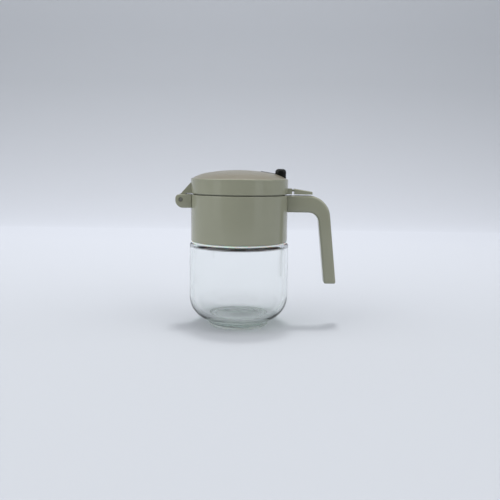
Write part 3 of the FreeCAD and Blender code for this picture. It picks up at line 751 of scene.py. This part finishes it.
class JAR_OT_lid(bpy.types.Operator):
    """Grey lid with a dome set in its rim, whose top is painted a warmer grey for the light it
    catches, a plug, a hinge arm and a thumb tab
    """
    bl_idname = "jar.lid"
    bl_label = "Lid, arm and thumb tab"

    def execute(self, context):
        sizes = context.scene.jar_lid
        collar = context.scene.jar_collar
        plastic = grey_plastic(context)
        name = "abs_warm_grey_moulded"
        dome = material_of(name, moulded_plastic, name, list(context.scene.jar_finishes.dome),
                           DOME_ROUGHNESS)
        outer = JAR_RADIUS - collar.inset
        low = COLLAR_TOP + sizes.gap
        top = low + sizes.height
        seat = COLLAR_TOP + sizes.seat
        gap = outer - sizes.gap_depth
        inside = outer - sizes.wall
        plug = outer - collar.wall - sizes.plug_play
        plug_inside = plug - sizes.plug_wall
        plug_low = COLLAR_TOP - sizes.plug_deep
        roof = top - sizes.channel_roof
        crown = dome_arcs(sizes, outer, top)
        crown_round = crown_radius(sizes, outer)
        under_round = crown_round - sizes.dome
        centre_z = LID_HIGH.z - crown_round
        under_edge = math.asin(plug_inside / under_round)
        outline = crown[::-1]
        outline += rounded((
            crown[0], (outer - sizes.rim, top), (outer, top, sizes.edge),
            (outer, low, sizes.low_edge), (gap, low), (gap, seat), (inside, seat),
            (inside, roof), (plug, roof), (plug, plug_low), (plug_inside, plug_low),
            (plug_inside, centre_z + under_round * math.cos(under_edge))), False)[1:]
        outline += arc((0, centre_z), under_round, QUARTER - under_edge, QUARTER,
                       BIG_STEPS)[1:]
        shell = lathe("lid_shell", held(outline), plastic)
        parts = [shell, self.arm(sizes, collar, outer, low)] + self.tab(sizes, outer, low)
        made = join("lid_with_tab", parts)
        made.data.materials.append(plastic)
        made.data.materials.append(dome)
        # Painted sheen: the dome's upward faces take a warmer, darker grey copy of the plastic,
        # which stands for how its top catches the light.
        rim_inside = outer - sizes.rim
        upward = 0.3
        for face in made.data.polygons:
            middle = face.center
            if math.hypot(middle.x, middle.y) < rim_inside and face.normal.z > upward and (
                    middle.z > top - 2 * sizes.rim_step):
                face.material_index = 1
        set_piece(made, "lid", "lid")
        return {"FINISHED"}

    def arm(self, sizes, collar, outer, low):
        """Arm from the lid's side down to a barrel round the pin."""
        root = -(outer - sizes.wall / 2)
        corner = Vector((-outer, low + sizes.arm_top))
        away = corner - Vector((HINGE.x, HINGE.z))
        turn = math.atan2(away.y, away.x) + math.acos(sizes.barrel / away.length)
        barrel = arc((HINGE.x, HINGE.z), sizes.barrel, turn, math.tau, BIG_STEPS)
        corners = [(root, corner.y), (corner.x, corner.y)]
        corners += [(point.x, point.y) for point in barrel]
        corners += [(HINGE.x + sizes.barrel, low), (root, low)]
        return slab("arm", corners, collar.slot - 2 * sizes.arm_play, 0.0)

    def tab(self, sizes, outer, low):
        """Block next to the lid, thin bridge and wedge that slopes down outwards."""
        root = outer - sizes.wall / 2
        block_end = outer + sizes.tab_block
        start = block_end + sizes.tab_gap
        block_top = low + sizes.block_height
        block_edge = 0.15 * MM
        bite = 0.5 * MM
        block = slab("tab_block", (
            (root, low), (block_end, low), (block_end, block_top), (root, block_top)),
            sizes.tab_width, block_edge)
        bridge_low = low + sizes.bridge_low
        bridge_top = bridge_low + sizes.bridge
        bridge = slab("tab_bridge", (
            (block_end - bite, bridge_low), (start + bite, bridge_low),
            (start + bite, bridge_top), (block_end - bite, bridge_top)),
            sizes.bridge_width, 0.0)
        return [block, bridge, self.wedge(sizes, start, low)]

    def wedge(self, sizes, start, low):
        """Wedge with its two upper edges rounded."""
        side = sizes.tab_width / 2
        rings = []
        for x, top in ((start, low + sizes.wedge_height), (LID_HIGH.x, low + sizes.tab_tip)):
            ring = rounded((
                (-side, low), (side, low), (side, top, sizes.wedge_edge),
                (-side, top, sizes.wedge_edge)))
            rings.append([Vector((x, point.x, point.y)) for point in ring])
        return skin("tab_wedge", rings)


def crown_radius(sizes, outer):
    """Radius of the dome's flatter middle."""
    reach = outer - sizes.rim - sizes.crown_margin
    return (reach ** 2 + sizes.crown_drop ** 2) / (2 * sizes.crown_drop)


def dome_arcs(sizes, outer, top, lift=0.0):
    """Top of the dome, from the rim to the middle."""
    rim = outer - sizes.rim
    reach = rim - sizes.crown_margin
    crown = crown_radius(sizes, outer)
    peak = LID_HIGH.z + lift
    foot = top - sizes.rim_step + lift
    slope = math.asin(reach / crown)
    fall = peak - sizes.crown_drop - foot
    steep = (sizes.crown_margin ** 2 + fall ** 2) / (
        2 * (fall * math.cos(slope) - sizes.crown_margin * math.sin(slope)))
    centre = Vector((reach, peak - sizes.crown_drop)) - steep * Vector((
        math.sin(slope), math.cos(slope)))
    first = math.atan2(foot - centre.y, rim - centre.x)
    points = arc(centre, steep, first, QUARTER - slope, BIG_STEPS)
    return points + arc((0, peak - crown), crown, QUARTER - slope, QUARTER, BIG_STEPS)[1:]


class JAR_OT_pin(bpy.types.Operator):
    """Steel pin through both ears, with rounded ends"""
    bl_idname = "jar.pin"
    bl_label = "Hinge pin"

    def execute(self, context):
        dome = context.scene.jar_lid.pin_dome
        profile = rounded((
            (0, PIN_LOW.y), (PIN_RADIUS, PIN_LOW.y, dome), (PIN_RADIUS, PIN_HIGH.y, dome),
            (0, PIN_HIGH.y)), False)
        rings = []
        for point in profile[1:-1]:
            circle = arc((HINGE.x, HINGE.z), point.x, 0, math.tau, BAR_STEPS)[:-1]
            rings.append([Vector((spot.x, point.y, spot.y)) for spot in circle])
        made = skin("hinge_pin_rod", rings)
        made.data.materials.append(material_of(
            "stainless_steel_drawn", drawn_steel, list(context.scene.jar_finishes.steel)))
        set_piece(made, "jar", "hinge_pin")
        return {"FINISHED"}


class JAR_OT_knob(bpy.types.Operator):
    """Black knob with a rounded top near the rim, and its tongue on the dome"""
    bl_idname = "jar.knob"
    bl_label = "Knob"

    def execute(self, context):
        sizes = context.scene.jar_lid
        collar = context.scene.jar_collar
        outer = JAR_RADIUS - collar.inset
        top = COLLAR_TOP + sizes.gap + sizes.height
        inner_x = KNOB_HIGH.x - sizes.knob_length
        centre_x = KNOB_HIGH.x - sizes.knob_length / 2
        half_x = sizes.knob_length / 2
        half_y = (KNOB_HIGH.y - KNOB_LOW.y) / 2
        crown = self.crown_height(sizes, outer, top)
        steps = 10
        levels = [(KNOB_HIGH.z - sizes.knob_round * (1 - math.sin(angle)),
                   sizes.knob_round * (1 - math.cos(angle)))
                  for angle in (QUARTER * step / steps for step in range(steps + 1))]
        rings = []
        for height, inset in [(None, 0.0)] + levels:
            plan = rounded((
                (-half_x, -half_y, sizes.knob_corner), (half_x, -half_y, sizes.knob_corner),
                (half_x, half_y, sizes.knob_corner), (-half_x, half_y, sizes.knob_corner)),
                True, inset)
            rings.append([Vector((
                centre_x + point.x, point.y,
                crown(centre_x + point.x, point.y) if height is None else height))
                for point in plan])
        block = skin("knob_block", rings)
        made = join("knob_with_tongue", [block, self.tongue(sizes, inner_x, crown)])
        name = "abs_black_moulded"
        shine = 0.2
        made.data.materials.append(material_of(
            name, moulded_plastic, name, list(context.scene.jar_finishes.knob),
            BLACK_ROUGHNESS, shine))
        set_piece(made, "lid", "knob")
        return {"FINISHED"}

    def crown_height(self, sizes, outer, top):
        """Function that gives the height just above the dome at a place."""
        lift = 0.05 * MM
        points = dome_arcs(sizes, outer, top, lift)[::-1]

        def height(x, y):
            reach = math.hypot(x, y)
            for near, far in zip(points, points[1:]):
                if near.x <= reach <= far.x:
                    share = (reach - near.x) / (far.x - near.x)
                    return near.y + (far.y - near.y) * share
            return points[-1].y
        return height

    def tongue(self, sizes, inner_x, crown):
        """Thin strip that lies on the dome and runs in under the knob."""
        start = KNOB_LOW.x
        end = inner_x + sizes.knob_corner
        half = sizes.tongue_width / 2
        steps = 16
        rings = []
        for step in range(steps + 1):
            x = start + (end - start) * step / steps
            spots = [(-half, 0), (0, 0), (half, 0), (half, 1), (0, 1), (-half, 1)]
            rings.append([Vector((x, y, crown(x, y) + sizes.tongue * lift))
                          for y, lift in spots])
        return skin("tongue", rings)


class JAR_OT_stage(bpy.types.Operator):
    """Seamless floor and backdrop, soft lights and the camera"""
    bl_idname = "jar.stage"
    bl_label = "Studio"

    def execute(self, context):
        self.sweep(context)
        self.lights(context)
        self.camera(context)
        return {"FINISHED"}

    def sweep(self, context):
        """Floor that curves up into the backdrop."""
        half = 3.0
        far, bend, high = 0.75, 0.5, 2.6
        line = [Vector((place, 0.0)) for place in (-0.72, -0.4, 0.3)]
        line += arc((far, bend), bend, -QUARTER, 0, 24)
        line.append(Vector((far + bend, high)))
        points = [Vector((x, point.x, point.y)) for x in (-half, half) for point in line]
        count = len(line)
        faces = [(step, count + step, count + step + 1, step + 1) for step in range(count - 1)]
        made = new_object("studio_sweep", points, faces)
        made.data.shade_smooth()
        made.data.materials.append(self.paper(context.scene.jar_finishes))

    def paper(self, finishes):
        """Matt paper sweep with painted light: palest low behind the jar, and darker towards its
        top in painted shade.
        """
        shade_height, shade_power = 0.36, 0.37
        painted_light_near, painted_light_far = -0.05, 0.75
        material, tree, surface, coordinates = new_material("paper_matt")
        spot = add(tree, "ShaderNodeSeparateXYZ", {0: coordinates})
        # Painted light: the floor's colour turns paler towards the back, and painted shade then
        # darkens the sweep upwards.
        rise = add(tree, "ShaderNodeMapRange", {
            "Value": spot.outputs["Z"], "From Max": shade_height})
        bend = add(tree, "ShaderNodeMath", {
            0: rise.outputs[0], 1: shade_power}, operation="POWER")
        back = add(tree, "ShaderNodeMapRange", {
            "Value": spot.outputs["Y"], "From Min": painted_light_near, "From Max": painted_light_far})
        ground = add(tree, "ShaderNodeMix", {
            "Factor": back.outputs[0], COLOUR_A: list(finishes.floor),
            COLOUR_B: list(finishes.painted_light)}, data_type="RGBA")
        tone = add(tree, "ShaderNodeMix", {
            "Factor": bend.outputs[0], COLOUR_A: ground.outputs[COLOUR_RESULT],
            COLOUR_B: list(finishes.shade)}, data_type="RGBA")
        shader = add(tree, "ShaderNodeBsdfDiffuse", {"Color": tone.outputs[COLOUR_RESULT]})
        tree.links.new(shader.outputs[0], surface)
        return material

    def lights(self, context):
        """Large soft boxes at the left, the right and overhead, and a pale room.

        Each row gives a box's name, place, side and watts. All aim at the middle of the jar.
        """
        middle = Vector((0, 0, 0.06))
        boxes = (
            ("key", (-1.6, -0.9, 1.5), 2.6, 40.0),
            ("fill", (1.6, -0.9, 1.5), 2.6, 26.0),
            ("top", (0.0, 0.26, 1.8), 0.2, 11.0),
            ("soft_top", (0.0, 0.1, 1.4), 0.8, 4.5))
        for name, place, side, power in boxes:
            lamp = bpy.data.lights.new(name, "AREA")
            lamp.shape = "SQUARE"
            lamp.size = side
            lamp.energy = power
            held_lamp = bpy.data.objects.new(name, lamp)
            held_lamp.location = place
            held_lamp.visible_camera = held_lamp.visible_transmission = False
            held_lamp.visible_glossy = name != "top"
            aim = middle - Vector(place)
            held_lamp.rotation_mode = "QUATERNION"
            held_lamp.rotation_quaternion = aim.to_track_quat("-Z", "Y")
            context.scene.collection.objects.link(held_lamp)
        context.scene.world = self.room()

    def room(self):
        """Pale room, dimmer behind the camera, with a soft pale window at its left and right.

        The windows show only as reflections, and the camera sees an even pale wall.
        """
        dim, bright, wall = 0.35, 0.6, 0.72
        windows = ((-0.79, -0.61, -0.08), (0.73, -0.68, -0.08))
        window_edge, window_core, window_power = 0.978, 0.988, 0.7
        world = bpy.data.worlds.new("room")
        world.use_nodes = True
        tree = world.node_tree
        tree.nodes.clear()
        output = add(tree, "ShaderNodeOutputWorld")
        direction = add(tree, "ShaderNodeTexCoord").outputs["Generated"]
        spot = add(tree, "ShaderNodeSeparateXYZ", {0: direction})
        depth = add(tree, "ShaderNodeMapRange", {
            "Value": spot.outputs["Y"], "From Min": -0.9, "From Max": 0.1,
            "To Min": dim, "To Max": bright}, interpolation_type="SMOOTHSTEP")
        path = add(tree, "ShaderNodeLightPath")
        level = depth.outputs[0]
        for facing in windows:
            near = add(tree, "ShaderNodeVectorMath", {
                0: direction, 1: Vector(facing).normalized()}, operation="DOT_PRODUCT")
            window = add(tree, "ShaderNodeMapRange", {
                "Value": near.outputs["Value"], "From Min": window_edge,
                "From Max": window_core, "To Max": window_power})
            level = add(tree, "ShaderNodeMath", {
                0: window.outputs[0], 1: path.outputs["Is Glossy Ray"], 2: level},
                operation="MULTIPLY_ADD").outputs[0]
        seen = add(tree, "ShaderNodeMath", {
            0: path.outputs["Is Camera Ray"], 1: path.outputs["Is Transmission Ray"]},
            operation="MAXIMUM")
        total = add(tree, "ShaderNodeMix", {
            "Factor": seen.outputs[0], NUMBER_A: level, NUMBER_B: wall})
        air = add(tree, "ShaderNodeBackground", {
            "Color": linear("DDE1E8"), "Strength": total.outputs[0]})
        tree.links.new(air.outputs[0], output.inputs["Surface"])
        return world

    def camera(self, context):
        """Camera in front of the jar, a little above it and looking slightly down."""
        down, across = math.radians(7.85), math.radians(0.75)
        lens = bpy.data.cameras.new("camera")
        lens.sensor_width = 36.0
        lens.lens = 43.2
        lens.shift_x = -0.001
        lens.shift_y = 0.001
        lens.clip_start = 0.01
        camera = bpy.data.objects.new("camera", lens)
        camera.location = (9.398 * MM, -484 * MM, 127 * MM)
        camera.rotation_mode = "QUATERNION"
        camera.rotation_quaternion = (
            Quaternion((1, 0, 0), QUARTER - down) @ Quaternion((0, 0, 1), across))
        context.scene.collection.objects.link(camera)
        context.scene.camera = camera
        context.scene.view_settings.view_transform = "Standard"


class JAR_PT_panel(bpy.types.Panel):
    """The jar's pieces and their sizes"""
    bl_idname = "JAR_PT_panel"
    bl_label = "Spice Jar"
    bl_space_type = "VIEW_3D"
    bl_region_type = "UI"
    bl_category = "Spice Jar"

    def draw(self, context):
        for kind in OPERATORS:
            self.layout.operator(kind.bl_idname)
        for group in GROUPS:
            box = self.layout.box()
            for name in GROUPS[group].__annotations__:
                box.prop(getattr(context.scene, group), name)


OPERATORS = (JAR_OT_glass, JAR_OT_seal, JAR_OT_collar, JAR_OT_lid, JAR_OT_pin, JAR_OT_knob,
             JAR_OT_stage)
GROUPS = {"jar_glass": GlassSizes, "jar_collar": CollarSizes, "jar_lid": LidSizes,
          "jar_finishes": Finishes}


def register():
    """Make the sizes, the operators and the panel known."""
    for name, group in GROUPS.items():
        bpy.utils.register_class(group)
        setattr(bpy.types.Scene, name, bpy.props.PointerProperty(type=group))
    for kind in OPERATORS + (JAR_PT_panel,):
        bpy.utils.register_class(kind)


def unregister():
    """Forget them again, in the opposite order."""
    for kind in (JAR_PT_panel,) + OPERATORS[::-1]:
        bpy.utils.unregister_class(kind)
    for name, group in reversed(GROUPS.items()):
        delattr(bpy.types.Scene, name)
        bpy.utils.unregister_class(group)


def main():
    """Build the jar and the studio."""
    register()
    bpy.ops.jar.glass()
    bpy.ops.jar.seal()
    bpy.ops.jar.collar()
    bpy.ops.jar.lid()
    bpy.ops.jar.pin()
    bpy.ops.jar.knob()
    bpy.ops.jar.stage()


if __name__ == "__main__":
    main()
